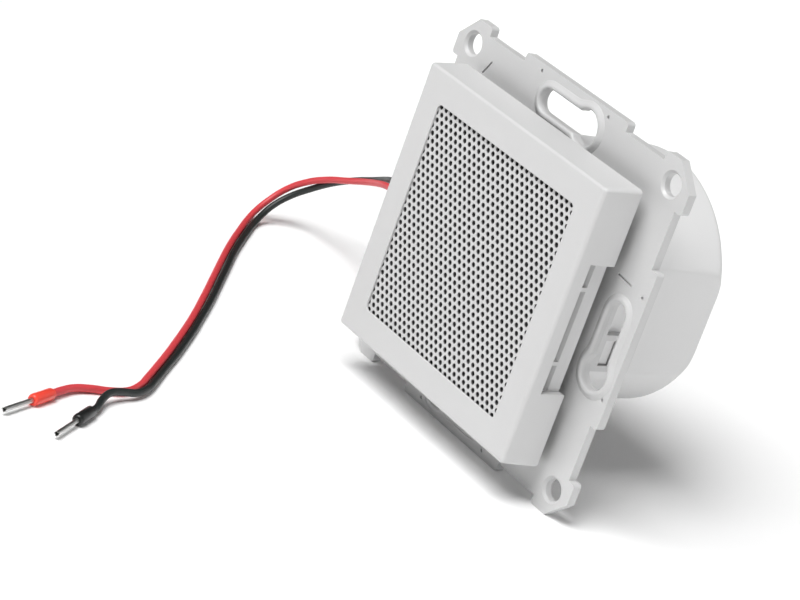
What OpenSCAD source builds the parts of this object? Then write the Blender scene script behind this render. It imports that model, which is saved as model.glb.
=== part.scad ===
// In-wall loudspeaker insert for a flush-mounted radio.
// X runs to the right, Y into the wall, Z up. The wall plane is y = 0, which is
// the rear face of the mounting plate. All sizes are in millimetres.

/* [Mounting plate] */
// Side of the square mounting plate
plate_side = 71; // [70:0.5:80]
// Thickness of the mounting plate
plate_t = 1.8; // [1.4:0.1:2.6]
// Depth of the recesses between the ears and the middle tabs
edge_recess = 1.8; // [1:0.1:2.4]
// Width of the tab in the middle of each side
tab_w = 31.2; // [26:0.2:36]
// Length of each corner ear, measured from the corner along the side
ear_len = 8.7; // [8:0.1:10]
// Leg of the chamfer across each corner
corner_cut = 4.6; // [3:0.1:5.5]
// Radius at the ends of the ears and tabs
edge_r = 0.7; // [0.3:0.1:1]
// Distance of the round corner holes from the plate's edges
ear_hole_inset = 4.9; // [4.6:0.1:5.1]
// Diameter of the round corner holes
ear_hole_d = 4.2; // [3.4:0.1:4.6]
// Countersink added all round each corner hole
ear_hole_sink = 0.5; // [0.2:0.1:0.7]
// Diameter of the small dimples in the middle tabs
dimple_d = 0.7; // [0.4:0.1:1]
// Distance between the two dimples of a tab
dimple_spacing = 20.4; // [16:0.2:24]
// Width of the two score marks
score_w = 0.4; // [0.3:0.1:0.6]

/* [Keyholes] */
// Distance between opposite fixing screws
screw_spacing = 60; // [59:0.2:61]
// Width of the narrow part of a keyhole
keyhole_w = 4.6; // [4.2:0.1:5]
// Diameter of the round part of a keyhole
keyhole_d = 6.8; // [6:0.1:7.4]
// Distance between the two end centres of a keyhole
keyhole_len = 11.5; // [9:0.1:13]
// Wall of the raised collar round a keyhole
collar_wall = 0.8; // [0.5:0.1:1]
// Height of the raised collar above the plate
collar_h = 0.4; // [0.2:0.1:0.8]
// Shift of the two side keyholes towards their round ends
side_shift = 1; // [0:0.1:1.5]

/* [Cover] */
// Side of the cover at its rear rim
cover_side = 55.4; // [55:0.1:57]
// How much smaller the cover is at its front
cover_draft = 0.7; // [0.2:0.1:1]
// Depth of the cover from its front face to its rear rim
cover_depth = 8.5; // [8:0.1:11]
// Gap between the rear rim of the cover and the plate
cover_gap = 2.7; // [1.5:0.1:4]
// Wall of the cover at its rear rim
cover_wall = 1.5; // [1.3:0.1:1.7]
// Radius of the cover's outer edges
cover_edge_r = 0.8; // [0.4:0.1:1.2]
// Thickness of the cover's front border
border_t = 1.8; // [1.6:0.1:2.2]
// Lip of the border that holds the grille sheet
border_lip = 0.5; // [0.4:0.1:0.8]
// Side of the square window
window_side = 42.7; // [40:0.1:44]
// Corner radius of the window
window_r = 1; // [0.5:0.1:2]
// Length of the cut in each side wall
notch_len = 25.7; // [20:0.1:30]
// Distance from the rear rim to the front of that cut
notch_depth = 5.4; // [4:0.1:6]

/* [Grille] */
// Thickness of the perforated sheet
sheet_t = 0.6; // [0.4:0.1:0.8]
// Margin of the sheet under the border, each side
sheet_margin = 0.8; // [0.5:0.1:0.9]
// Diameter of the holes
hole_d = 1; // [0.7:0.05:1.1]
// Distance between neighbouring holes
hole_pitch = 1.52; // [1.5:0.02:2]
// Sideways place of the hole pattern
pattern_x = -0.28; // [-0.7:0.02:0.7]
// Upward place of the hole pattern
pattern_z = -0.14; // [-0.6:0.02:0.6]
// Thickness of the black dust cloth
cloth_t = 0.3; // [0.2:0.05:0.4]

/* [Carrier] */
// Thickness of the carrier's walls
carrier_wall = 1.3; // [1:0.1:1.6]
// Thickness of the carrier's front panel
panel_t = 1.2; // [1:0.1:1.5]
// How far the front panel reaches inwards past the sound duct
panel_lip = 1; // [0.5:0.1:2]
// Wall of the sound duct
duct_wall = 1.4; // [1:0.1:1.5]
// Width of the slots in the side walls
slot_w = 1.2; // [0.8:0.1:1.4]
// Width of the thin ribs between the slots
slot_rib = 0.8; // [0.5:0.1:1.2]
// Length of the middle slot
slot_mid_len = 14; // [12:0.1:16]
// Width of a snap leg
leg_w = 4; // [3:0.1:4.6]
// Outward step of a snap hook
hook_step = 0.5; // [0.3:0.05:0.6]
// Width of each catch inside the cover
catch_w = 12; // [8:0.5:16]

/* [Housing] */
// Outer radius of the housing at the plate
housing_r = 24.9; // [24.6:0.1:25.4]
// How much smaller that radius is at the rear
housing_draft = 0.5; // [0:0.1:0.8]
// Depth of the housing behind the plate
housing_depth = 29.2; // [26:0.2:40]
// Wall of the housing
housing_wall = 1.6; // [1.2:0.1:1.8]
// How far each of the two flats cuts into the round housing
flat_cut = 2.55; // [2.2:0.05:2.7]
// Radius of the rear edge
rear_edge_r = 1.5; // [0.8:0.1:3]
// Thickness of a latch arm
latch_t = 1.4; // [1:0.1:1.6]
// Width of a latch arm
latch_w = 7.4; // [6.4:0.1:8]
// Length of a latch arm behind the plate
latch_len = 8.6; // [7.8:0.1:10]
// Width of the catch that a latch arm holds
latch_catch_w = 4.8; // [3:0.1:5]
// Distance of each latch arm from the middle line
latch_z = 6; // [5:0.1:6.2]

/* [Loudspeaker] */
// Width of the basket flange, out to the housing's clearance
flange_w = 3.6; // [3.6:0.1:4]
// Thickness of the basket's sheet steel
basket_t = 0.7; // [0.5:0.1:0.8]
// Thickness of the foam gasket
gasket_t = 0.6; // [0.4:0.1:1]
// Depth of the basket behind its flange
basket_depth = 8.6; // [8:0.2:12]
// Distance of the screws from the flange's edge
screw_inset = 1.6; // [1.5:0.05:1.6]
// Distance of the middle of the surround's roll from the sound opening
roll_inset = 2.2; // [2:0.05:2.4]
// Outer radius of the voice coil former
former_r = 6.1; // [5.6:0.1:6.4]
// Thickness of the steel front plate
washer_t = 2; // [1.5:0.1:3]
// Outer radius of the magnet
magnet_r = 12.5; // [11.8:0.1:14]
// Height of the magnet
magnet_h = 4.5; // [4:0.1:6]
// Thickness of the yoke's disc
yoke_t = 2; // [1.5:0.1:3]

/* [Leads] */
// Diameter of each lead
lead_d = 1.4; // [1.2:0.1:1.6]
// Distance between the two leads in the grommet
lead_spacing = 2.4; // [2.2:0.1:2.6]
// Distance of the grommet behind the wall plane
grommet_y = 6.5; // [6:0.1:7]
// Radius of the grommet's flanges
grommet_r = 3.4; // [3.1:0.1:3.6]
// Diameter of a ferrule's collar
collar_d = 2.2; // [2:0.1:2.4]
// Length of a ferrule's collar
collar_len = 6; // [5:0.1:7]
// Diameter of a ferrule's pin
pin_d = 0.9; // [0.8:0.05:1.1]
// Length of a ferrule's pin
pin_len = 8; // [6:0.5:10]

/* [Hidden] */
$fn = 64;

// Small clearance between parts that slide into each other
fit = 0.15;
// Amount by which a cutting tool passes a face
over = 1;
// Colours
white = "#eceded";
off_white = "#e4e5e6";
sheet_grey = "#d9dbdc";
black = "#1c1d1f";
steel = "#9a9da1";

// Places along Y, from the wall plane to the front
plate_front = -plate_t;
rim_y = plate_front - cover_gap;
front_y = rim_y - cover_depth;
sheet_y = front_y + border_lip;
cloth_y = sheet_y + sheet_t;
pad_y = cloth_y + cloth_t;
border_rear = front_y + border_t;
panel_y = border_rear + fit;
panel_rear = panel_y + panel_t;
notch_y = rim_y - notch_depth;
half = plate_side / 2;
ear_hole_spacing = plate_side - 2 * ear_hole_inset;

// Places of the carrier
cover_inner = cover_side - 2 * cover_wall;
carrier_half = cover_inner / 2 - fit;
sheet_half = window_side / 2 + sheet_margin;
rebate_half = sheet_half + fit;
leg_angles = [60, 120, 240, 300];
hook_len = 1.2;
hook_gap = 0.2;

// Places of the housing, and of what stands in a ring inside its flats
flat_x = housing_r - flat_cut;
basket_gap = 0.75;
flange_r = flat_x - housing_wall - basket_gap;
opening_r = flange_r - flange_w;
screw_circle_r = flange_r - screw_inset;
roll_r = opening_r - roll_inset;
leg_gap = 0.5;
duct_r = flange_r + leg_gap;
duct_outer = duct_r + duct_wall;
panel_r = duct_r - panel_lip;
latch_gap = 0.15;
latch_x = flat_x + latch_gap;
latch_window_y = 4.4;
latch_window_len = 2.8;

// Places of the loudspeaker, behind the wall plane
flange_y = gasket_t;
ledge_drop = 1.2;
ledge_y = flange_y + ledge_drop;
lip_t = 0.4;
basket_floor = flange_y + basket_depth;
pole_r = former_r - 0.6;
gap_r = former_r + 0.8;
washer_r = magnet_r - 1;
magnet_y = basket_floor + washer_t;
yoke_y = magnet_y + magnet_h;
boss_r = 1.9;
boss_h = 2.2;
pilot_r = 0.7;
screw_r = 0.85;
head_r = 1.2;
head_h = 1;
ledge_w = 1.4;
ledge_in = opening_r - ledge_w;
roll_w = 1.2;
spider_gap = 1.4;
spider_y = basket_floor - basket_t - spider_gap;
spider_t = 0.25;
neck_gap = 0.7;
cone_in = former_r;
cone_front = ledge_y;
cone_rear = spider_y - neck_gap;
cone_out = roll_r - roll_w - 0.2;
cone_lip_y = cone_front + lip_t + 0.4;
cone_bend_w = 2.6;
cone_bend_h = 0.9;
cone_bend_r = cone_in + cone_bend_w;
cone_bend_y = cone_rear - cone_bend_h;
cap_lap = 2;
cap_h = 2.2;
basket_window_w = 16;

// Places of the leads
board_w = 2.6;
board_len = 8;
board_x = flange_r - board_w;
board_t = 0.8;
board_y = flange_y + basket_t;
tag_inset = 1.2;
tag_x = flange_r - tag_inset;
tag_t = 0.4;
tag_w = 1.6;
tag_len = 6.2;
tinsel_d = 0.5;
tinsel_rise = 2.5;
tinsel_y = board_y + board_t + tinsel_rise;
grommet_z = -6;
grommet_lip = 1.2;
grommet_inner = 0.8;
neck_r = 2.6;
lead_r = lead_d / 2;

// Route of the red lead: from its solder tag through the grommet, out to the left,
// down to the surface that the plate's lower edge stands on, and to its ferrule
red_route = [
  [-18.8, 6.5, -7.2], [-23, 6.5, -7.2], [-28, 6.6, -7.3], [-34.5, 7.4, -7.6], [-41.8, 8.7, -8.3],
  [-49.4, 10.3, -9.2], [-56.9, 12.5, -10.8], [-63.6, 15.4, -13.2], [-69.8, 17.6, -15.7],
  [-76.5, 18.6, -18.6], [-82.8, 18.7, -21.4], [-88.3, 18, -24.7], [-91.6, 16.3, -28],
  [-92.6, 13.7, -31.1], [-91.7, 10.4, -33.5], [-88.9, 6.7, -34.7], [-84.5, 2.4, -34.7],
  [-79.3, -2.6, -34.7], [-73.4, -8, -34.7], [-67.2, -13.4, -34.7], [-60.8, -18.9, -34.7],
  [-54.4, -24.4, -34.7], [-48.3, -29.7, -34.7], [-42.2, -35.1, -34.7], [-36.5, -40.4, -34.7],
  [-31.1, -45.6, -34.7], [-25.8, -50.8, -34.7], [-20.7, -56, -34.7], [-16.1, -60.8, -34.7],
  [-12.4, -64.9, -34.7], [-10.4, -68.6, -34.7], [-10.2, -72.3, -34.7], [-10.7, -76, -34.6],
  [-10.6, -79.6, -34.5], [-9.4, -82.8, -34.4], [-8, -85.7, -34.4]];
// Route of the black lead, beside the red one and over it near the ferrules
black_route = [
  [-18.8, 6.5, -4.8], [-23, 6.5, -4.8], [-28, 6.7, -4.9], [-34.9, 7.7, -5.4], [-42.6, 9, -6.3],
  [-50.5, 11, -7.7], [-57.5, 14, -9.8], [-63.6, 17.4, -12.3], [-70.3, 20, -15.4],
  [-77.3, 20.8, -18.8], [-83.1, 20.4, -22.3], [-87.3, 18.8, -25.8], [-89.8, 16.2, -28.9],
  [-90.3, 13.3, -31.4], [-89.4, 10.4, -33.5], [-87.1, 7.3, -34.7], [-83.2, 3.4, -34.8],
  [-78.2, -1.4, -34.8], [-72.4, -6.8, -34.8], [-66, -12.3, -34.8], [-59.6, -17.8, -34.8],
  [-53.3, -23.2, -34.8], [-47, -28.7, -34.8], [-41.2, -34, -34.8], [-35.5, -39.2, -34.8],
  [-30, -44.5, -34.8], [-24.6, -49.8, -34.8], [-19.5, -55.1, -34.8], [-14.8, -59.9, -34.7],
  [-11, -64, -34.5], [-8.8, -67.8, -34.2], [-8.1, -71.4, -33.7], [-7.2, -74.4, -33.5],
  [-5.6, -76.8, -34], [-3.5, -78.8, -34.4], [-2, -80.9, -34.4]];

// Shared shapes

// A flat outline in X and Z, made solid between two places along Y
module slab(y_from, y_to) {
  translate([0, y_to, 0])
    rotate([90, 0, 0])
      linear_extrude(y_to - y_from)
        children();
}

// A profile of radius and depth, turned round the Y axis
module turned() {
  rotate([-90, 0, 0])
    rotate_extrude()
      children();
}

// A round rod along Y
module rod(r, y_from, y_to) {
  translate([0, y_from, 0])
    rotate([-90, 0, 0])
      cylinder(r = r, h = y_to - y_from);
}

// A flat ring round the Y axis
module ring(r_in, r_out, y_from, y_to) {
  turned()
    translate([r_in, y_from])
      square([r_out - r_in, y_to - y_from]);
}

// A square outline with rounded corners
module soft_square(side, r) {
  square([side, side - 2 * r], center = true);
  square([side - 2 * r, side], center = true);
  for (sx = [-1, 1])
    for (sz = [-1, 1])
      translate([sx * (side / 2 - r), sz * (side / 2 - r)])
        circle(r = r);
}

// Copies at the four corners of a square
module at_corners(s) {
  for (sx = [-1, 1])
    for (sz = [-1, 1])
      translate([sx * s / 2, 0, sz * s / 2])
        children();
}

// Copies at the four screws of the loudspeaker
module at_screws() {
  for (a = [45 : 90 : 315])
    rotate([0, a, 0])
      translate([screw_circle_r, 0, 0])
        children();
}

// Cover

// Outside of the cover: four drafted posts with soft front edges, wrapped together
module cover_body() {
  rear = cover_side / 2 - cover_edge_r;
  front = rear - cover_draft / 2;
  hull() {
    at_corners(2 * front)
      translate([0, front_y + cover_edge_r, 0])
        sphere(r = cover_edge_r, $fn = 16);
    at_corners(2 * rear)
      translate([0, rim_y - cover_edge_r, 0])
        rotate([-90, 0, 0])
          cylinder(r = cover_edge_r, h = cover_edge_r, $fn = 16);
  }
}

// Ridge inside the top and bottom walls that snaps into the carrier
module cover_catch(grow) {
  translate([-catch_w / 2 - grow, rim_y - 2.6 - grow, cover_inner / 2 - 0.5 - grow])
    cube([catch_w + 2 * grow, 0.9 + 2 * grow, 0.5 + 2 * grow]);
}

module cover_frame() {
  color(white) {
    difference() {
      cover_body();
      slab(border_rear, rim_y + over)
        square(cover_inner, center = true);
      slab(sheet_y, border_rear + over)
        square(2 * rebate_half, center = true);
      slab(front_y - over, sheet_y + over)
        soft_square(window_side, window_r);
      slab(notch_y, rim_y + over)
        square([cover_side + 2 * over, notch_len], center = true);
    }
    for (a = [0, 180])
      rotate([0, a, 0])
        cover_catch(0);
  }
}

// Grille

row_pitch = hole_pitch * sin(60);
rows = floor(window_side / 2 / row_pitch);
columns = floor(window_side / 2 / hole_pitch) + 1;
hole_limit = window_side / 2 + hole_d / 4;

// Hole centres of the staggered pattern, inside the window
function hole_x(i, j) = pattern_x + hole_pitch * (i + 0.5 * (abs(j) % 2 == 0 ? 1 : 0));
function hole_z(j) = pattern_z + row_pitch * j;
hole_places = [for (j = [-rows - 1 : rows + 1]) for (i = [-columns - 1 : columns + 1])
  if (abs(hole_x(i, j)) < hole_limit && abs(hole_z(j)) < hole_limit)
    [hole_x(i, j), hole_z(j)]];

module grille_sheet() {
  color(sheet_grey)
    slab(sheet_y, cloth_y)
      difference() {
        square(2 * sheet_half, center = true);
        for (p = hole_places)
          translate(p)
            circle(d = hole_d, $fn = 16);
      }
}

module dust_cloth() {
  color(black)
    slab(cloth_y, pad_y)
      square(2 * sheet_half - 2 * fit, center = true);
}

// Carrier

// Three slots in a row, with two thin ribs between them
module wall_slots() {
  end_len = (notch_len - 2 * fit - slot_mid_len - 2 * slot_rib) / 2;
  z_mid = slot_mid_len / 2 + slot_rib;
  x_in = carrier_half - carrier_wall - over;
  for (s = [-1, 1])
    translate([x_in, notch_y, s > 0 ? z_mid : -z_mid - end_len])
      cube([carrier_wall + 2 * over, slot_w, end_len]);
  translate([x_in, notch_y, -slot_mid_len / 2])
    cube([carrier_wall + 2 * over, slot_w, slot_mid_len]);
}

// Snap leg that passes the plate and hooks behind it
module snap_leg() {
  translate([duct_r + 0.1, plate_front - over, -leg_w / 2])
    cube([duct_wall - 0.2, plate_t + over + hook_gap + hook_len, leg_w]);
  translate([duct_outer - 0.5, hook_gap, -leg_w / 2])
    cube([0.4 + hook_step, hook_len, leg_w]);
}

module inner_carrier() {
  color(off_white) {
    difference() {
      union() {
        slab(panel_y, rim_y - fit)
          difference() {
            square(2 * carrier_half, center = true);
            square(2 * (carrier_half - carrier_wall), center = true);
          }
        slab(panel_y, panel_rear)
          difference() {
            square(2 * carrier_half - carrier_wall, center = true);
            circle(r = panel_r);
          }
        slab(pad_y, panel_y + panel_t / 2)
          difference() {
            square(2 * (sheet_half - fit), center = true);
            circle(r = panel_r);
          }
        ring(duct_r, duct_outer, panel_rear - panel_t / 2, plate_front);
      }
      for (s = [0, 180])
        rotate([0, s, 0])
          wall_slots();
      for (a = [0, 180])
        rotate([0, a, 0])
          cover_catch(fit);
    }
    for (a = leg_angles)
      rotate([0, a, 0])
        snap_leg();
  }
}

// Mounting plate

// What rounds off an outline's upper right corner, which lies at the origin
module round_off(r) {
  translate([-r, -r])
    difference() {
      square(r + over);
      circle(r = r);
    }
}

// Outline of the plate: middle tabs, recesses and chamfered ears
module plate_outline() {
  ear_end = half - ear_len;
  recess_len = ear_end - tab_w / 2;
  difference() {
    square(plate_side, center = true);
    for (a = [0 : 90 : 270])
      rotate(a) {
        for (s = [-1, 1]) {
          translate([s * (tab_w + recess_len) / 2, half])
            square([recess_len, 2 * edge_recess], center = true);
          translate([s * tab_w / 2, half])
            rotate(s > 0 ? 0 : 90)
              round_off(edge_r);
          translate([s * ear_end, half])
            rotate(s > 0 ? 90 : 0)
              round_off(edge_r);
        }
        polygon([[half - corner_cut, half], [half, half - corner_cut],
          [half + over, half + over]]);
      }
  }
}

// Keyhole outline: narrow end to the left, round end to the right
module keyhole(grow) {
  translate([-keyhole_len / 2, 0])
    circle(d = keyhole_w + 2 * grow);
  translate([-keyhole_len / 2, -keyhole_w / 2 - grow])
    square([keyhole_len, keyhole_w + 2 * grow]);
  translate([keyhole_len / 2, 0])
    circle(d = keyhole_d + 2 * grow);
}

// The four keyholes, each a quarter turn on from the last
module at_keyholes() {
  for (i = [0 : 3])
    rotate([0, 90 * i, 0])
      translate([(i % 2) * side_shift, 0, screw_spacing / 2])
        children();
}

// Latch arm that holds the catch on a flat of the housing
module latch_arm() {
  difference() {
    translate([latch_x, -0.2, -latch_z - latch_w / 2])
      cube([latch_t, latch_len + 0.2, latch_w]);
    translate([latch_x - over, latch_window_y, -latch_z - latch_catch_w / 2 - fit])
      cube([latch_t + 2 * over, latch_window_len, latch_catch_w + 2 * fit]);
  }
}

module mounting_plate() {
  color(white) {
    difference() {
      union() {
        slab(plate_front, 0)
          plate_outline();
        at_keyholes()
          slab(plate_front - collar_h, plate_front + 0.5)
            keyhole(collar_wall);
        at_screws()
          rod(boss_r, plate_front - boss_h, plate_front + 0.5);
        for (a = [0, 180])
          rotate([0, a, 0])
            latch_arm();
      }
      rod(opening_r, plate_front - over, over);
      at_keyholes()
        slab(plate_front - collar_h - over, over)
          keyhole(0);
      at_corners(ear_hole_spacing) {
        rod(ear_hole_d / 2, plate_front - over, over);
        translate([0, plate_front - 0.001, 0])
          rotate([-90, 0, 0])
            cylinder(r1 = ear_hole_d / 2 + ear_hole_sink, r2 = ear_hole_d / 2,
              h = ear_hole_sink);
      }
      at_screws()
        rod(pilot_r, plate_front - boss_h + 0.6, over);
      for (a = leg_angles)
        rotate([0, a, 0])
          translate([duct_r - 0.1, plate_front - over, -leg_w / 2 - fit])
            cube([duct_wall + hook_step + 0.2, plate_t + 2 * over, leg_w + 2 * fit]);
      for (a = [0 : 90 : 270])
        rotate([0, a, 0])
          for (s = [-1, 1])
            translate([s * dimple_spacing / 2, 0, half - 1.4])
              rod(dimple_d / 2, plate_front - over, plate_front + 0.4);
      translate([10.9 - half, plate_front, half - 7.2])
        rotate([0, 29, 0])
          cube([score_w, 0.8, 3.4], center = true);
      translate([half - 6.9, plate_front, 11])
        rotate([0, 6, 0])
          cube([4, 0.8, score_w], center = true);
    }
  }
}

// Housing

// Half profile of a cup with a rounded rear edge
module cup_profile(r_front, r_rear, depth, edge_r) {
  polygon([[0, 0], [r_front, 0], [r_rear, depth - edge_r], [0, depth - edge_r]]);
  translate([0, depth - edge_r - 0.001])
    square([r_rear - edge_r, edge_r + 0.001]);
  translate([r_rear - edge_r, depth - edge_r])
    circle(r = edge_r);
}

module cup(r_front, r_rear, depth, edge_r, flat) {
  intersection() {
    turned()
      cup_profile(r_front, r_rear, depth, edge_r);
    translate([-flat, -over, -r_front - over])
      cube([2 * flat, depth + 2 * over, 2 * r_front + 2 * over]);
  }
}

module rear_housing() {
  rear_r = housing_r - housing_draft;
  color(white) {
    difference() {
      cup(housing_r, rear_r, housing_depth, rear_edge_r, flat_x);
      translate([0, -0.001, 0])
        cup(housing_r - housing_wall, rear_r - housing_wall, housing_depth - housing_wall,
          rear_edge_r * 0.6, flat_x - housing_wall);
      translate([-flat_x - over, grommet_y, grommet_z])
        rotate([0, 90, 0])
          cylinder(r = neck_r + 0.05, h = housing_wall + 2 * over);
    }
    for (a = [0, 180])
      rotate([0, a, 0])
        translate([flat_x - 0.1, latch_window_y + 0.3, -latch_z - latch_catch_w / 2])
          cube([1, latch_window_len - 0.5, latch_catch_w]);
  }
}

// Loudspeaker

module front_gasket() {
  color(black)
    difference() {
      ring(opening_r + 0.1, flange_r - 0.1, 0, gasket_t);
      at_screws()
        rod(screw_r + 0.15, -over, gasket_t + over);
    }
}

// Half section of the pressed steel basket
module basket_profile() {
  step = opening_r + basket_t;
  // flange
  translate([opening_r, flange_y])
    square([flange_r - opening_r, basket_t]);
  // step down to the ledge that carries the surround
  translate([opening_r, flange_y])
    square([basket_t, ledge_y + lip_t + basket_t - flange_y]);
  translate([ledge_in, ledge_y + lip_t])
    square([step - ledge_in, basket_t]);
  // sloping wall down to the floor
  polygon([[step - 1.2, ledge_y + lip_t], [step, ledge_y + lip_t],
    [magnet_r - 0.4, basket_floor], [magnet_r - 1.3, basket_floor]]);
  // floor that carries the front pole plate
  translate([gap_r + 0.6, basket_floor - basket_t])
    square([magnet_r - 0.9 - gap_r, basket_t]);
  // ledge that carries the spider's rim
  translate([magnet_r - 1.5, spider_y + spider_t])
    square([1.8, 0.5]);
}

module basket() {
  window_y = ledge_y + lip_t + basket_t + 0.5;
  window_len = spider_y - 0.6 - window_y;
  color(steel)
    difference() {
      turned()
        basket_profile();
      at_screws()
        rod(screw_r + 0.15, -over, flange_y + basket_t + over);
      for (a = [0 : 90 : 270])
        rotate([0, a, 0])
          translate([gap_r + 4, window_y, -basket_window_w / 2])
            cube([flange_r, window_len, basket_window_w]);
    }
}

module surround() {
  lip_in = roll_r + roll_w - 0.2;
  color(black)
    turned() {
      translate([lip_in, ledge_y])
        square([opening_r - 0.1 - lip_in, lip_t]);
      intersection() {
        translate([roll_r, ledge_y + lip_t])
          difference() {
            circle(r = roll_w + 0.2);
            circle(r = roll_w - 0.2);
          }
        translate([0, ledge_y - 3])
          square([flange_r, 3 + lip_t]);
      }
      translate([roll_r - roll_w - 1.2, ledge_y])
        square([1.4, lip_t]);
    }
}

module cone() {
  color(black)
    turned()
      polygon([[cone_out, cone_front + lip_t], [cone_out, cone_lip_y],
        [cone_bend_r, cone_bend_y], [cone_in, cone_rear + 0.4], [cone_in, cone_rear],
        [cone_bend_r + 0.2, cone_bend_y - 0.5]]);
}

module dust_cap() {
  cap_r = former_r + cap_lap;
  ball_r = (cap_r * cap_r + cap_h * cap_h) / (2 * cap_h);
  cap_y = cone_rear - 1.9;
  color(black)
    intersection() {
      turned()
        intersection() {
          translate([0, cap_y - cap_h + ball_r])
            difference() {
              circle(r = ball_r, $fn = 128);
              circle(r = ball_r - 0.3, $fn = 128);
            }
          translate([0, cap_y - cap_h - 0.1])
            square([cap_r, cap_h + 0.1]);
        }
    }
}

module coil_former() {
  color("#b08a4a")
    ring(former_r - 0.2, former_r, cone_rear - 1, magnet_y + 1.5);
}

module voice_coil() {
  color("#b5652b")
    ring(former_r, former_r + 0.4, basket_floor - 0.6, magnet_y + 0.6);
}

// Corrugated disc with a flat rim
module spider() {
  waves = 3;
  steps = 36;
  rim_r = magnet_r - 0.5;
  span = magnet_r - 1.6 - former_r;
  function wave(k) = spider_y + 0.35 * sin(360 * waves * k / steps);
  color("#c9a24c")
    turned()
      polygon([for (k = [0 : steps]) [former_r + span * k / steps, wave(k)],
        [rim_r, spider_y], [rim_r, spider_y + spider_t],
        for (k = [steps : -1 : 0]) [former_r + span * k / steps, wave(k) + spider_t]]);
}

module front_pole_plate() {
  color(steel)
    ring(gap_r, washer_r, basket_floor, magnet_y);
}

module magnet() {
  color("#3a3b3d")
    ring(gap_r + 1, magnet_r, magnet_y, yoke_y);
}

module yoke() {
  color(steel) {
    rod(washer_r, yoke_y, yoke_y + yoke_t);
    rod(pole_r, basket_floor, yoke_y + 0.5);
  }
}

module driver_screws() {
  color(steel)
    at_screws() {
      rod(head_r, flange_y + basket_t, flange_y + basket_t + head_h);
      rod(pilot_r, plate_front - boss_h + 0.8, flange_y + basket_t + 0.3);
    }
}

// Leads

module terminal_board() {
  color("#8a5a34")
    translate([-flange_r, board_y, grommet_z - board_len / 2])
      cube([board_w, board_t, board_len]);
}

module solder_tags() {
  color("#c8b25c")
    for (s = [-1, 1])
      translate([-tag_x, board_y + board_t, grommet_z + s * lead_spacing / 2 - tag_w / 2]) {
        cube([tag_t, tag_len, tag_w]);
        translate([-0.8, 0, 0])
          cube([0.8 + tag_t, tag_t, tag_w]);
      }
}

// Radius of the cone's rear surface at a place along Y
function cone_at(y) =
  cone_bend_r + (cone_out - cone_bend_r) * (cone_bend_y - y) / (cone_bend_y - cone_lip_y);

// Two straight flexible wires from the tags, through the basket, to the cone
module tinsel_leads() {
  r = tinsel_d / 2;
  reach = cone_at(tinsel_y - r);
  color("#b87333")
    for (s = [-1, 1]) {
      z = grommet_z + s * lead_spacing / 2;
      x_end = sqrt(pow(reach, 2) - pow(abs(z) - r, 2)) + 0.05;
      translate([-tag_x + tag_t, tinsel_y, z])
        rotate([0, 90, 0])
          cylinder(r = r, h = tag_x - tag_t - x_end, $fn = 16);
    }
}

module lead_grommet() {
  color(black)
    difference() {
      translate([0, grommet_y, grommet_z]) {
        translate([-flat_x - grommet_lip, 0, 0])
          rotate([0, 90, 0])
            cylinder(r1 = grommet_r - 0.6, r2 = grommet_r, h = grommet_lip);
        translate([-flat_x, 0, 0])
          rotate([0, 90, 0])
            cylinder(r = neck_r, h = housing_wall);
        translate([-flat_x + housing_wall, 0, 0])
          rotate([0, 90, 0])
            cylinder(r = grommet_r, h = grommet_inner);
      }
      for (s = [-1, 1])
        translate([-flat_x - grommet_lip - over, grommet_y, grommet_z + s * lead_spacing / 2])
          rotate([0, 90, 0])
            cylinder(r = lead_r + 0.05, h = grommet_lip + housing_wall + grommet_inner + 2 * over);
    }
}

// Round tube swept along a route, as one closed surface
function unit(v) = v / norm(v);
function heading(path, i) =
  unit(path[min(i + 1, len(path) - 1)] - path[max(i - 1, 0)]);
function side_of(d) = unit(cross(d, [0, 0, 1]));
function tube_ring(path, i, r, n) =
  let (d = heading(path, i), a = side_of(d), b = cross(a, d))
    [for (k = [0 : n - 1]) path[i] + r * (cos(360 * k / n) * a + sin(360 * k / n) * b)];

module tube(path, r, n = 8) {
  last = len(path) - 1;
  polyhedron(
    points = [for (i = [0 : last]) each tube_ring(path, i, r, n)],
    faces = concat(
      [[for (k = [0 : n - 1]) k]],
      [for (i = [0 : last - 1]) for (k = [0 : n - 1])
        each [[i * n + k, (i + 1) * n + k, i * n + (k + 1) % n],
          [i * n + (k + 1) % n, (i + 1) * n + k, (i + 1) * n + (k + 1) % n]]],
      [[for (k = [n - 1 : -1 : 0]) last * n + k]]));
}

module red_lead() {
  color("#d8232a")
    tube(red_route, lead_r);
}

module black_lead() {
  color(black)
    tube(black_route, lead_r);
}

// Something laid along the last, level stretch of a lead, from its end onwards
module at_ferrule(route) {
  end = route[len(route) - 1];
  step = end - route[len(route) - 2];
  translate(end)
    rotate([0, 0, atan2(step[0], -step[1])])
      rotate([90, 0, 0])
        children();
}

module ferrule_collar() {
  rotate_extrude()
    polygon([[0, 0], [collar_d / 2 - 0.1, 0], [collar_d / 2, 0.3],
      [collar_d / 2, collar_len - 0.9], [pin_d / 2 + 0.25, collar_len], [0, collar_len]]);
}

module ferrule_pin() {
  bore_r = pin_d / 2 - 0.15;
  translate([0, 0, collar_len])
    difference() {
      cylinder(d = pin_d, h = pin_len);
      translate([0, 0, pin_len - 1.5])
        cylinder(r = bore_r, h = 1.5 + over);
    }
}

module red_ferrule_collar() {
  color("#d8232a")
    at_ferrule(red_route)
      ferrule_collar();
}

module black_ferrule_collar() {
  color(black)
    at_ferrule(black_route)
      ferrule_collar();
}

module red_ferrule_pin() {
  color(steel)
    at_ferrule(red_route)
      ferrule_pin();
}

module black_ferrule_pin() {
  color(steel)
    at_ferrule(black_route)
      ferrule_pin();
}

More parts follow.
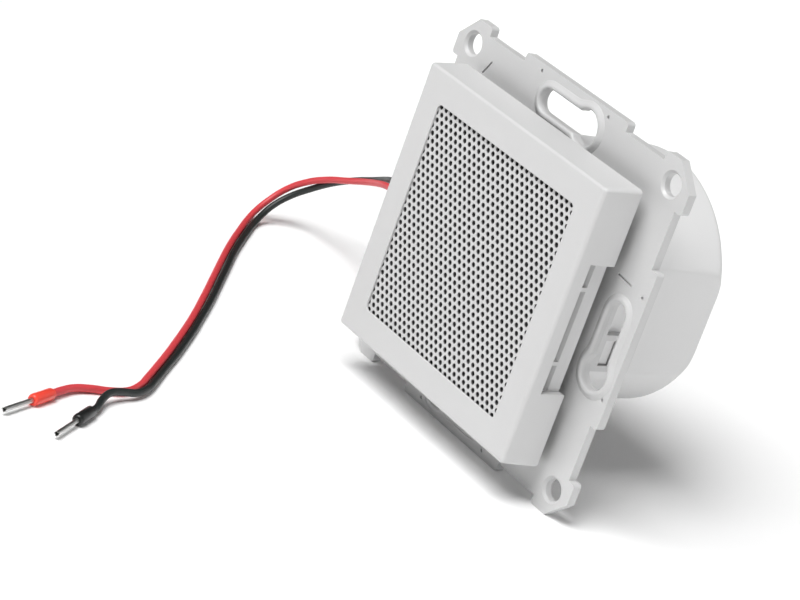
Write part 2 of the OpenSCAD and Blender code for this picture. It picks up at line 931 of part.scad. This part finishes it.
cover_frame();
grille_sheet();
dust_cloth();
inner_carrier();
mounting_plate();
rear_housing();
front_gasket();
basket();
surround();
cone();
dust_cap();
coil_former();
voice_coil();
spider();
front_pole_plate();
magnet();
yoke();
terminal_board();
solder_tags();
tinsel_leads();
driver_screws();
lead_grommet();
red_lead();
black_lead();
red_ferrule_collar();
black_ferrule_collar();
red_ferrule_pin();
black_ferrule_pin();
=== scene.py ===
# %% [markdown]
# A flush-mounted loudspeaker for an in-wall radio, dressed and lit in Blender.
#
# The measured model comes first, as a fixed frame of named solids in metres. This
# script gives every solid its finish, rounds the moulded edges that catch the light,
# lays the two leads, and sets the camera and the studio. It never moves a solid.

import math

import bmesh
import bpy
from mathutils import Matrix, Vector


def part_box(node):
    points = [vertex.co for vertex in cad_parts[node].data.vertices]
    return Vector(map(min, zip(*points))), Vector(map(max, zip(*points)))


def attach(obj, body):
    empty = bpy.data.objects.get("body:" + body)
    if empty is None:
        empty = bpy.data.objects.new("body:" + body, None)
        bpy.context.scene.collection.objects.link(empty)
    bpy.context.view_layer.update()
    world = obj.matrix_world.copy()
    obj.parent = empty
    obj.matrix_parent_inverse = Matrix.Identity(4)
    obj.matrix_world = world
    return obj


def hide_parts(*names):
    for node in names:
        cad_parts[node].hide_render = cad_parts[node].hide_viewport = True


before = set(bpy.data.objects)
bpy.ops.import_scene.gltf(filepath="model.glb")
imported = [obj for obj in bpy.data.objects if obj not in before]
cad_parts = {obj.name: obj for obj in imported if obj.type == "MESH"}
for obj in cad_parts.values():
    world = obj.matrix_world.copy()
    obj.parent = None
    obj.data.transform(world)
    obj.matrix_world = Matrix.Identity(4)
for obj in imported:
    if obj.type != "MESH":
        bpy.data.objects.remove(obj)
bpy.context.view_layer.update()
MM = 0.001
BODY = "root"

# %% [markdown]
# The camera. The picture is a product shot taken with a long lens from the right and
# above, with the camera rolled, so that the insert seems to lean back on its corner.
# A camera is placed by four things: where it stands, which way is right in its
# picture, which way is up in it, and its focal length. Two of its directions are
# enough, because the third is square to both. They were fitted to the corners and the
# holes of the mounting plate.

# %% Camera
CAMERA_PLACE = Vector((370.657, -357.270, 167.550)) * MM
CAMERA_RIGHT = Vector((0.54319, 0.77567, 0.32137)).normalized()
CAMERA_UP = Vector((-0.46148, -0.04394, 0.88606)).normalized()
SENSOR_WIDTH = 36.0
FOCAL_LENGTH = 131.917

camera_data = bpy.data.cameras.new("studio_camera")
camera_data.sensor_fit = "HORIZONTAL"
camera_data.sensor_width = SENSOR_WIDTH
camera_data.lens = FOCAL_LENGTH
camera_data.clip_start = 0.01
camera_data.clip_end = 20.0
camera = bpy.data.objects.new("studio_camera", camera_data)
bpy.context.scene.collection.objects.link(camera)
bpy.context.scene.camera = camera

camera_back = CAMERA_RIGHT.cross(CAMERA_UP).normalized()
camera_axes = Matrix((CAMERA_RIGHT, CAMERA_UP, camera_back)).transposed()
camera.matrix_world = Matrix.Translation(CAMERA_PLACE) @ camera_axes.to_4x4()
print("camera looks along", [round(-v, 3) for v in camera_back])

# %% [markdown]
# The two leads. Each is a single stranded wire in a soft sheath, 1.4 mm thick, cut to
# a short length with a crimped ferrule on its end. A lead like that keeps a slow bend:
# it comes straight out of the grommet in the housing's flat side, sinks to the
# surface over about 90 mm, and then runs on along it. A Bezier curve through the
# listed points, with automatic handles, gives such bends, and its round bevel gives
# the sheath. The bevelled curve is turned into a mesh, because a curve's own box takes
# in the reach of its points' radius. The points are those that the solid model uses.

# %% Routes of the leads, in millimetres
RED_ROUTE = [
    (-18.8, 6.5, -7.2), (-23, 6.5, -7.2), (-28, 6.6, -7.3), (-34.5, 7.4, -7.6),
    (-41.8, 8.7, -8.3), (-49.4, 10.3, -9.2), (-56.9, 12.5, -10.8), (-63.6, 15.4, -13.2),
    (-69.8, 17.6, -15.7), (-76.5, 18.6, -18.6), (-82.8, 18.7, -21.4), (-88.3, 18, -24.7),
    (-91.6, 16.3, -28), (-92.6, 13.7, -31.1), (-91.7, 10.4, -33.5), (-88.9, 6.7, -34.7),
    (-84.5, 2.4, -34.7), (-79.3, -2.6, -34.7), (-73.4, -8, -34.7), (-67.2, -13.4, -34.7),
    (-60.8, -18.9, -34.7), (-54.4, -24.4, -34.7), (-48.3, -29.7, -34.7), (-42.2, -35.1, -34.7),
    (-36.5, -40.4, -34.7), (-31.1, -45.6, -34.7), (-25.8, -50.8, -34.7), (-20.7, -56, -34.7),
    (-16.1, -60.8, -34.7), (-12.4, -64.9, -34.7), (-10.4, -68.6, -34.7), (-10.2, -72.3, -34.7),
    (-10.7, -76, -34.6), (-10.6, -79.6, -34.5), (-9.4, -82.8, -34.4), (-8, -85.7, -34.4)]
BLACK_ROUTE = [
    (-18.8, 6.5, -4.8), (-23, 6.5, -4.8), (-28, 6.7, -4.9), (-34.9, 7.7, -5.4), (-42.6, 9, -6.3),
    (-50.5, 11, -7.7), (-57.5, 14, -9.8), (-63.6, 17.4, -12.3), (-70.3, 20, -15.4),
    (-77.3, 20.8, -18.8), (-83.1, 20.4, -22.3), (-87.3, 18.8, -25.8), (-89.8, 16.2, -28.9),
    (-90.3, 13.3, -31.4), (-89.4, 10.4, -33.5), (-87.1, 7.3, -34.7), (-83.2, 3.4, -34.8),
    (-78.2, -1.4, -34.8), (-72.4, -6.8, -34.8), (-66, -12.3, -34.8), (-59.6, -17.8, -34.8),
    (-53.3, -23.2, -34.8), (-47, -28.7, -34.8), (-41.2, -34, -34.8), (-35.5, -39.2, -34.8),
    (-30, -44.5, -34.8), (-24.6, -49.8, -34.8), (-19.5, -55.1, -34.8), (-14.8, -59.9, -34.7),
    (-11, -64, -34.5), (-8.8, -67.8, -34.2), (-8.1, -71.4, -33.7), (-7.2, -74.4, -33.5),
    (-5.6, -76.8, -34), (-3.5, -78.8, -34.4), (-2, -80.9, -34.4)]
LEAD_DIAMETER = 1.4 * MM

# %% Make the leads


def make_lead(name, route):
    """A round tube through the route's points, as a mesh of its own."""
    curve = bpy.data.curves.new(name, "CURVE")
    curve.dimensions = "3D"
    curve.resolution_u = 6
    curve.bevel_depth = LEAD_DIAMETER / 2
    curve.bevel_resolution = 5
    curve.use_fill_caps = True
    spline = curve.splines.new("BEZIER")
    spline.bezier_points.add(len(route) - 1)
    for knot, place in zip(spline.bezier_points, route):
        knot.co = Vector(place) * MM
        knot.handle_left_type = "AUTO"
        knot.handle_right_type = "AUTO"
    guide = bpy.data.objects.new(name + "_guide", curve)
    bpy.context.scene.collection.objects.link(guide)
    tube = guide.evaluated_get(bpy.context.evaluated_depsgraph_get())
    mesh = bpy.data.meshes.new_from_object(tube)
    mesh.name = name
    bpy.data.objects.remove(guide)
    bpy.data.curves.remove(curve)
    lead = bpy.data.objects.new(name, mesh)
    bpy.context.scene.collection.objects.link(lead)
    return lead


def route_length(route):
    """The length of a route in metres."""
    return sum((Vector(b) - Vector(a)).length for a, b in zip(route, route[1:])) * MM


leads = {}
for colour, route in (("red", RED_ROUTE), ("black", BLACK_ROUTE)):
    lead = make_lead(colour + "_lead_wire", route)
    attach(lead, BODY)
    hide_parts(colour + "_lead")
    leads[colour] = lead
    print(colour, "lead:", round(route_length(route) / MM), "mm")

# %% [markdown]
# The studio. There is one pale floor, which the plate's lower edge stands on, and soft light.
# Product shots of white parts are lit by large diffusers, so that a white edge still
# stands out from a white ground: the top faces are almost as bright as the floor, the
# front is a light grey, and the sides are darker. Most of the light comes from one
# diffuser of 1.4 m, high up in front, whose shadow falls behind the part with a soft
# edge. A weaker one hangs overhead, and reflectors to the right lift the
# sides and the housing without lifting the shadow, because they stand low. A small
# lamp with a grid lights only the floor behind, which is why the ground stays white.

# %% Colours and nodes


def linear(hex_colour):
    """An sRGB colour such as "#D8D8D6", as the linear values that shaders take."""
    parts = [int(hex_colour[i:i + 2], 16) / 255 for i in (1, 3, 5)]
    return [v / 12.92 if v <= 0.04045 else ((v + 0.055) / 1.055) ** 2.4 for v in parts] + [1.0]


def add_node(material, kind, links=None, **settings):
    """One node. Settings name its options or its inputs, and links its inputs' sources."""
    node = material.node_tree.nodes.new(kind)
    for name, value in settings.items():
        if hasattr(node, name):
            setattr(node, name, value)
        else:
            node.inputs[name.replace("_", " ")].default_value = value
    for name, source in (links or {}).items():
        material.node_tree.links.new(source, node.inputs[name])
    return node


# %% Floor
FLOOR_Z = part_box("mounting_plate")[0].z
FLOOR_SIZE = 3.0

floor_mesh = bpy.data.meshes.new("studio_floor")
bm = bmesh.new()
bmesh.ops.create_grid(bm, x_segments=1, y_segments=1, size=FLOOR_SIZE / 2)
bmesh.ops.translate(bm, verts=bm.verts, vec=(0, 0, FLOOR_Z))
bm.to_mesh(floor_mesh)
bm.free()
floor = bpy.data.objects.new("studio_floor", floor_mesh)
bpy.context.scene.collection.objects.link(floor)

paper = bpy.data.materials.new("studio_paper")
paper.use_nodes = True
paper_shader = paper.node_tree.nodes["Principled BSDF"]
paper_shader.inputs["Base Color"].default_value = linear("#FFFFFF")
paper_shader.inputs["Roughness"].default_value = 0.9
paper_shader.inputs["Specular IOR Level"].default_value = 0.1
floor_mesh.materials.append(paper)
print("floor at", round(FLOOR_Z / MM, 2), "mm")

# %% Lamps and world


def add_lamp(name, place, target, side, power):
    """A square diffuser at a place in millimetres, turned to its target."""
    lamp_data = bpy.data.lights.new(name, "AREA")
    lamp_data.shape = "SQUARE"
    lamp_data.size = side * MM
    lamp_data.energy = power
    lamp = bpy.data.objects.new(name, lamp_data)
    lamp.location = Vector(place) * MM
    lamp.rotation_euler = (Vector(target) * MM - lamp.location).to_track_quat("-Z", "Y").to_euler()
    bpy.context.scene.collection.objects.link(lamp)
    return lamp


add_lamp("top_diffuser", (-160, -260, 2180), (0, 0, 0), 1700, 5.2)
add_lamp("front_diffuser", (55, -1100, 1905), (0, 0, 0), 1400, 56.5)
add_lamp("front_reflector", (205, -2055, 750), (0, 0, 0), 1100, 1.8)
add_lamp("rear_diffuser", (140, 1405, 1685), (0, 0, 0), 1700, 1.4)
add_lamp("right_reflector", (1930, 195, 485), (0, 0, 0), 900, 6.8)
add_lamp("rear_right_reflector", (1550, 1165, 485), (0, 0, 0), 900, 3.8)
background_lamp = add_lamp("background_lamp", (-480, 620, 560), (-270, 340, -35), 200, 0.2)
background_lamp.data.spread = math.radians(35)

world = bpy.data.worlds.new("studio_world")
world.use_nodes = True
world.node_tree.nodes["Background"].inputs["Color"].default_value = (1, 1, 1, 1)
world.node_tree.nodes["Background"].inputs["Strength"].default_value = 0.02
bpy.context.scene.world = world
bpy.context.scene.view_settings.view_transform = "Standard"

# %% [markdown]
# Soft edges. A moulded part has no sharp edge: the tool rounds each one by a tenth or
# two of a millimetre, and that rounding is what draws the thin bright lines round a
# white part. The solids have the true outlines with sharp edges, so each one that
# shows is copied. The copy's loose triangles are merged, its flat faces dissolved
# into whole ones, and a Bevel modifier rounds what is left. Weighted normals keep the
# flat faces flat to the eye.

# %% A finished copy of a solid
MERGE_DISTANCE = 0.5e-6
FLAT_ANGLE, SMOOTH_ANGLE = math.radians(0.5), math.radians(40)


def finished_copy(node_name, new_name, bevel, prepare=None):
    """A merged, smoothly shaded copy that stands for a solid, with its edges rounded."""
    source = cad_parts[node_name]
    mesh = bpy.data.meshes.new(new_name)
    bm = bmesh.new()
    bm.from_mesh(source.data)
    if prepare:
        prepare(bm)
    bmesh.ops.remove_doubles(bm, verts=bm.verts, dist=MERGE_DISTANCE)
    bmesh.ops.dissolve_limit(bm, angle_limit=FLAT_ANGLE, verts=bm.verts, edges=bm.edges)
    for face in bm.faces:
        face.smooth = True
    bm.to_mesh(mesh)
    bm.free()
    mesh.set_sharp_from_angle(angle=SMOOTH_ANGLE)
    copy = bpy.data.objects.new(new_name, mesh)
    bpy.context.scene.collection.objects.link(copy)
    rounding = copy.modifiers.new("rounded_edges", "BEVEL")
    rounding.width = bevel * MM
    rounding.segments = 2
    rounding.limit_method = "ANGLE"
    rounding.angle_limit = SMOOTH_ANGLE
    rounding.harden_normals = True
    rounding.use_clamp_overlap = True
    flattening = copy.modifiers.new("flat_faces", "WEIGHTED_NORMAL")
    flattening.keep_sharp = True
    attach(copy, BODY)
    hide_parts(node_name)
    print(new_name, "faces:", len(mesh.polygons))
    return copy


# %% [markdown]
# Two of the copies are changed before they are rounded. The plate's square keyhole
# collars are pressed flat, because round ones follow below. The carrier's side slots
# are set back a little: in the solid they start right at the notch's edge, which hides
# them from the camera, and in the photograph they are plainly seen. Their rear walls
# lean as well, as a moulded slot's do, so that they catch some light from the side.
# Moving the corners of a copy does both, and leaves its other faces as they were.

# %% Finished copies of the parts that show
PLATE_FRONT, COLLAR_HEIGHT = -1.8 * MM, 0.5 * MM
CARRIER_HALF, CARRIER_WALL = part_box("inner_carrier")[1].x, 1.3 * MM
NOTCH_HALF = 12.85 * MM
SLOT_FRONT, SLOT_MIDDLE, SLOT_REAR = -9.95 * MM, -9 * MM, -8.65 * MM
SLOT_SHIFT, SLOT_DRAFT = 1.35 * MM, 0.9 * MM
MARGIN = 0.02 * MM


def lower_collars(bm):
    """Press the plate's square-edged keyhole collars flat, where rounded ones will stand."""
    for vert in bm.verts:
        if PLATE_FRONT - COLLAR_HEIGHT < vert.co.y < PLATE_FRONT:
            vert.co.y = PLATE_FRONT


def show_slots(bm):
    """Set the carrier's slots back to where the cover's notch shows them, with draft."""
    for vert in bm.verts:
        in_wall = abs(vert.co.x) >= CARRIER_HALF - CARRIER_WALL - MARGIN
        if in_wall and abs(vert.co.z) < NOTCH_HALF and SLOT_FRONT < vert.co.y < SLOT_REAR:
            inner = abs(vert.co.x) < CARRIER_HALF - CARRIER_WALL / 2
            leaning = inner and vert.co.y > SLOT_MIDDLE
            vert.co.y += SLOT_SHIFT - (SLOT_DRAFT if leaning else 0)


cover = finished_copy("cover_frame", "cover_shell", bevel=0.12)
plate = finished_copy("mounting_plate", "plate_shell", bevel=0.2,
                      prepare=lower_collars)
housing = finished_copy("rear_housing", "housing_shell", bevel=0.2)
carrier = finished_copy("inner_carrier", "carrier_shell", bevel=0.1,
                        prepare=show_slots)
grommet = finished_copy("lead_grommet", "grommet_ring", bevel=0.1)

# %% [markdown]
# The collars of the keyholes. A screw that is pushed along a keyhole must not scrape
# the plate, so each keyhole has a raised bead round it, with a soft top and a long
# run-out on its outer side. It is swept here as a closed section along the keyhole's
# own outline: each point of the section has a distance out from the hole's wall and a
# height over the plate. The outer rows are averaged a little, because the mould's
# cutter can't make a sharp inner corner where the narrow part meets the round one.

# %% Keyhole collars
KEYHOLE_WIDTH, KEYHOLE_DIAMETER, KEYHOLE_LENGTH = 4.6, 6.8, 11.5
SCREW_RADIUS, SIDE_SHIFT = 30.0, 1.0
SHARP_BELOW, SMOOTHINGS = 0.2, 3
BEAD_SECTION = [(0.1, -1.1), (-0.02, -0.8), (-0.03, -0.3), (-0.02, 0.05), (0.06, 0.28),
                (0.24, 0.43), (0.48, 0.5), (0.74, 0.47), (0.98, 0.36), (1.2, 0.2),
                (1.42, 0.08), (1.66, 0.01), (1.75, -0.25)]


def keyhole_loop(grow):
    """Points along a keyhole's outline, that far out from its wall, in millimetres."""
    narrow, wide = KEYHOLE_WIDTH / 2 + grow, KEYHOLE_DIAMETER / 2 + grow
    middle = KEYHOLE_LENGTH / 2
    meet = math.asin(narrow / wide)
    neck = middle - wide * math.cos(meet)
    loop = [(-middle + narrow * math.cos(t), narrow * math.sin(t))
            for t in (math.pi * (0.5 + k / 16) for k in range(16))]
    loop += [(-middle + (neck + middle) * k / 14, -narrow) for k in range(14)]
    sweep = math.pi - meet
    loop += [(middle + wide * math.cos(t), wide * math.sin(t))
             for t in (sweep * (k / 16 - 1) for k in range(32))]
    loop += [(neck - (neck + middle) * k / 14, narrow) for k in range(14)]
    for _ in range(SMOOTHINGS if grow > SHARP_BELOW else 0):
        loop = [tuple((a + 2 * b + c) / 4 for a, b, c in zip(before, here, after))
                for before, here, after in zip(loop[-1:] + loop, loop, loop[1:] + loop[:1])]
    return loop


def place_keyhole(turn, x, z):
    """A keyhole point turned to the top, right, bottom or left side of the plate."""
    x, z = x + SIDE_SHIFT * (turn % 2), z + SCREW_RADIUS
    angle = math.pi / 2 * turn
    return x * math.cos(angle) + z * math.sin(angle), z * math.cos(angle) - x * math.sin(angle)


bead_mesh = bpy.data.meshes.new("keyhole_beads")
bm = bmesh.new()
for turn in range(4):
    rows = []
    for grow, height in BEAD_SECTION:
        points = [place_keyhole(turn, x, z) for x, z in keyhole_loop(grow)]
        rows.append([bm.verts.new((x * MM, PLATE_FRONT - height * MM, z * MM)) for x, z in points])
    for low, high in zip(rows, rows[1:] + rows[:1]):
        for a, b, c, d in zip(low, low[1:] + low[:1], high[1:] + high[:1], high):
            bm.faces.new((a, b, c, d)).smooth = True
bmesh.ops.recalc_face_normals(bm, faces=bm.faces)
bm.to_mesh(bead_mesh)
bm.free()
beads = bpy.data.objects.new("keyhole_beads", bead_mesh)
bpy.context.scene.collection.objects.link(beads)
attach(beads, BODY)
print("keyhole beads:", len(bead_mesh.polygons), "faces")

# %% [markdown]
# The ferrules. A wire-end ferrule is a thin tinned copper tube with a plastic sleeve
# pressed on its rear half. The sleeve is turned here with a soft shoulder at the tube
# and a small step at the lead, and the tube with an open end. A crimping tool bites
# its rim out of round, so the rim is wavy and its dark bore shows.

# %% A turned piece on the end of a lead


def lathe(name, profile, route, steps=48):
    """A profile of (radius, distance) in mm, spun round the level line of a lead's end."""
    end, before = Vector(route[-1]) * MM, Vector(route[-2]) * MM
    ahead = (end - before).normalized()
    side = ahead.cross(Vector((0, 0, 1))).normalized()
    bm = bmesh.new()
    verts = [bm.verts.new(end + side * (r * MM) + ahead * (z * MM)) for r, z in profile]
    edges = [bm.edges.new(pair) for pair in zip(verts, verts[1:] + verts[:1])]
    bmesh.ops.spin(bm, geom=verts + edges, cent=end, axis=ahead, angle=math.tau, steps=steps,
                   use_merge=True)
    bmesh.ops.recalc_face_normals(bm, faces=bm.faces)
    for face in bm.faces:
        face.smooth = True
    mesh = bpy.data.meshes.new(name)
    bm.to_mesh(mesh)
    bm.free()
    mesh.set_sharp_from_angle(angle=SMOOTH_ANGLE)
    piece = bpy.data.objects.new(name, mesh)
    bpy.context.scene.collection.objects.link(piece)
    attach(piece, BODY)
    return piece, end, ahead, side


# %% Ferrules
SLEEVE = [(0.5, -0.1), (0.74, -0.3), (0.88, -0.26), (0.93, -0.1), (0.95, 0.12), (1.04, 0.16),
          (1.1, 0.3), (1.1, 5.2), (1.06, 5.5), (0.95, 5.76), (0.78, 5.9), (0.58, 5.94),
          (0.47, 5.86), (0.47, 5.2), (0.5, 4.0)]
TUBE = [(0.3, 5.0), (0.45, 5.0), (0.45, 13.3), (0.46, 13.75), (0.47, 14.0), (0.42, 14.03),
        (0.37, 13.98), (0.34, 13.7), (0.33, 12.0), (0.1, 11.8), (0.1, 5.0)]
RIM_START, RIM_LENGTH = 13.6, 0.4
sleeves, tubes = {}, {}
for colour, route in (("red", RED_ROUTE), ("black", BLACK_ROUTE)):
    sleeve = lathe(colour + "_ferrule_sleeve", SLEEVE, route)[0]
    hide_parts(colour + "_ferrule_collar")
    sleeves[colour] = sleeve
    tube, end, ahead, side = lathe(colour + "_ferrule_tube", TUBE, route)
    for vert in tube.data.vertices:
        reach = (vert.co - end).dot(ahead) / MM
        if reach > RIM_START:
            turn = math.atan2(vert.co.z - end.z, (vert.co - end).dot(side))
            bite = 0.16 * math.sin(4 * turn + 1) + 0.1 * math.sin(7 * turn)
            vert.co += ahead * (bite * MM * (reach - RIM_START) / RIM_LENGTH)
    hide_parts(colour + "_ferrule_pin")
    tubes[colour] = tube
    print(colour, "ferrule:", len(sleeve.data.polygons) + len(tube.data.polygons), "faces")

# %% [markdown]
# Moulded white plastic. The cover, plate, carrier and housing are injection-moulded
# ABS: white pigment in a clear resin, so the surface is bright and has a soft, faint
# gloss. The cover's tool is spark-eroded, which leaves a fine even grain that
# scatters its reflections. The plate's and housing's tools are only ground, so these
# are a little glossier, with long faint waves from shrinking round their ribs. One
# function makes all of them, from a noise that stands for the grain of the tool.

# %% A grained material


def new_material(name):
    """An empty material and its shader."""
    material = bpy.data.materials.new(name)
    material.use_nodes = True
    return material, material.node_tree.nodes["Principled BSDF"]


def grained(name, hex_colour, roughness, grain_mm, depth_mm, metallic=0.0, ior=1.5):
    """One colour, with a noise of that grain size in its gloss and its relief."""
    material, shader = new_material(name)
    shader.inputs["Base Color"].default_value = linear(hex_colour)
    shader.inputs["Metallic"].default_value = metallic
    shader.inputs["IOR"].default_value = ior
    place = add_node(material, "ShaderNodeTexCoord")
    grain = add_node(material, "ShaderNodeTexNoise", {"Vector": place.outputs["Object"]},
                     Scale=1 / (grain_mm * MM), Detail=2.0, Roughness=0.6)
    gloss = add_node(material, "ShaderNodeMapRange", {"Value": grain.outputs["Fac"]},
                     To_Min=roughness - 0.05, To_Max=roughness + 0.05)
    relief = add_node(material, "ShaderNodeBump", {"Height": grain.outputs["Fac"]},
                      Strength=0.4, Distance=depth_mm * MM)
    material.node_tree.links.new(gloss.outputs["Result"], shader.inputs["Roughness"])
    material.node_tree.links.new(relief.outputs["Normal"], shader.inputs["Normal"])
    return material


def give(material, *pieces):
    """The material in the first slot of each piece, or of the CAD node of that name."""
    for piece in pieces:
        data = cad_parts[piece].data if isinstance(piece, str) else piece.data
        data.materials.clear()
        data.materials.append(material)
    print(material.name, "on", len(pieces), "pieces")


# %% White finishes
give(grained("spark_eroded_abs", "#CECECE", 0.5, 0.35, 0.02, ior=1.53), cover)
give(grained("ground_tool_abs", "#CCCCCC", 0.38, 1.6, 0.02, ior=1.53), plate, beads)
# The housing's white is set lighter than the plate's: painted light, for the light it catches from
# the right and behind.
give(grained("housing_abs_painted_lighter", "#DEDEDE", 0.42, 2.2, 0.03, ior=1.53), housing)
give(grained("carrier_abs", "#D2D2D2", 0.5, 0.8, 0.02, ior=1.53), carrier)

# %% [markdown]
# The grille's paint. The grille is steel sheet that was punched and then powder
# painted, and the paint's slight orange peel blurs the light. The hole walls are
# given a dark grey: painted shade, standing for the shade inside the small holes.
# The depth behind the sheet's face tells the walls from the face, with no picture to line up.

# %% Painted sheet
# The second colour is painted shade for the hole walls, not a colour of the steel.
PAINT, HOLE_WALL_SHADE = "#CDCDCD", "#5C5C5C"
paint = grained("powder_paint_and_hole_shade", PAINT, 0.5, 0.5, 0.015)
sheet_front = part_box("grille_sheet")[0].y
position = add_node(paint, "ShaderNodeTexCoord").outputs["Object"]
depth = add_node(paint, "ShaderNodeSeparateXYZ", {"Vector": position}).outputs["Y"]
# This mask darkens the walls behind the sheet's face: painted shade in the holes.
hole_shade_mask = add_node(paint, "ShaderNodeMapRange", {"Value": depth}, From_Min=sheet_front + 0.02 * MM,
                From_Max=sheet_front + 0.25 * MM)
paint_and_hole_shade = add_node(paint, "ShaderNodeMix", {"Factor": hole_shade_mask.outputs["Result"]}, data_type="RGBA")
paint_and_hole_shade.inputs[6].default_value = linear(PAINT)
paint_and_hole_shade.inputs[7].default_value = linear(HOLE_WALL_SHADE)
paint.node_tree.links.new(paint_and_hole_shade.outputs[2],
                          paint.node_tree.nodes["Principled BSDF"].inputs["Base Color"])
give(paint, "grille_sheet")

# %% [markdown]
# Leads and ferrules. The leads are stranded copper in soft PVC. The sheath is drawn
# over the strands, so it is faintly uneven along its length, and plasticiser in it
# gives a broad weak sheen rather than a sharp highlight. The ferrules' sleeves are
# hard polypropylene in clearer colours, and the tubes are copper with a bright coat of
# tin that has long drawing marks.

# %% Lead finishes
give(grained("red_pvc_sheath", "#D6444A", 0.42, 1.1, 0.03), leads["red"])
give(grained("black_pvc_sheath", "#1F2524", 0.42, 1.1, 0.03), leads["black"])
give(grained("red_polypropylene", "#F44C3C", 0.33, 0.8, 0.01), sleeves["red"])
give(grained("black_polypropylene", "#1D1F1F", 0.33, 0.8, 0.01), sleeves["black"])
give(grained("bright_tin_plate", "#D6D6D4", 0.34, 0.25, 0.006, metallic=1.0),
     tubes["red"], tubes["black"])
give(grained("moulded_rubber", "#161616", 0.6, 0.3, 0.01), grommet)

# %% [markdown]
# Woven cloth. The dust cloth behind the grille is black acoustic fabric, and the
# spider is cotton set hard with amber resin. Both are plain weaves: two sets of
# threads at right angles, each going over and under the other. Two band patterns
# across each other, the darker of the two taken at every point, give the threads'
# relief and the fine dark gaps between them, so that the cloth reads as cloth in the
# holes and not as flat paint.

# %% Cloths


def woven(name, thread_hex, gap_hex, thread_mm, roughness):
    """A plain weave in the plate's plane, from two crossed band patterns."""
    material, shader = new_material(name)
    place = add_node(material, "ShaderNodeTexCoord")
    bands = [add_node(material, "ShaderNodeTexWave", {"Vector": place.outputs["Object"]},
                      wave_type="BANDS", bands_direction=axis, Scale=0.31416 / (thread_mm * MM))
             for axis in ("X", "Z")]
    weave = add_node(material, "ShaderNodeMath", operation="MULTIPLY")
    material.node_tree.links.new(bands[0].outputs["Fac"], weave.inputs[0])
    material.node_tree.links.new(bands[1].outputs["Fac"], weave.inputs[1])
    colour = add_node(material, "ShaderNodeMix", {"Factor": weave.outputs["Value"]},
                      data_type="RGBA")
    colour.inputs[6].default_value = linear(gap_hex)
    colour.inputs[7].default_value = linear(thread_hex)
    relief = add_node(material, "ShaderNodeBump", {"Height": weave.outputs["Value"]},
                      Strength=0.8, Distance=0.25 * thread_mm * MM)
    material.node_tree.links.new(colour.outputs[2], shader.inputs["Base Color"])
    material.node_tree.links.new(relief.outputs["Normal"], shader.inputs["Normal"])
    shader.inputs["Roughness"].default_value = roughness
    return material


give(woven("black_acoustic_cloth", "#1B1B1C", "#060606", 0.22, 0.95), "dust_cloth")
give(woven("resin_set_cotton", "#B98A3A", "#5E421A", 0.35, 0.7), "spider")

# %% [markdown]
# Inside the housing. None of this shows from outside, but a part that is opened should
# look right. The cone and its cap are pressed paper pulp, matt with short fibres; the
# surround is foam rubber and the gasket is closed-cell foam with visible pores. The
# basket, screws and pole pieces are steel with a thin zinc coat, dulled by the
# passivation. The magnet is sintered ferrite, a dark grey ceramic with a ground face.
# The former is amber polyimide film, the coil bright enamelled wire, the terminal
# board phenolic paper and the tags tinned brass.

# %% Inner finishes
give(grained("pressed_paper_pulp", "#232324", 0.9, 0.4, 0.05), "cone", "dust_cap")
give(grained("foam_rubber", "#1A1A1B", 0.75, 0.25, 0.03), "surround")
give(grained("closed_cell_foam", "#222223", 0.95, 0.6, 0.12), "front_gasket")
give(grained("zinc_passivated_steel", "#B9BCBF", 0.42, 0.9, 0.015, metallic=1.0),
     "basket", "front_pole_plate", "yoke", "driver_screws")
give(grained("sintered_ferrite", "#3B3C3E", 0.55, 0.3, 0.02), "magnet")
give(grained("amber_polyimide_film", "#A8752B", 0.25, 2.0, 0.005), "coil_former")
give(grained("enamelled_copper", "#B5602A", 0.3, 0.15, 0.02, metallic=1.0),
     "voice_coil", "tinsel_leads")
give(grained("phenolic_paper", "#8A5A34", 0.5, 0.7, 0.01), "terminal_board")
give(grained("tinned_brass", "#C9B45F", 0.35, 0.4, 0.008, metallic=1.0), "solder_tags")
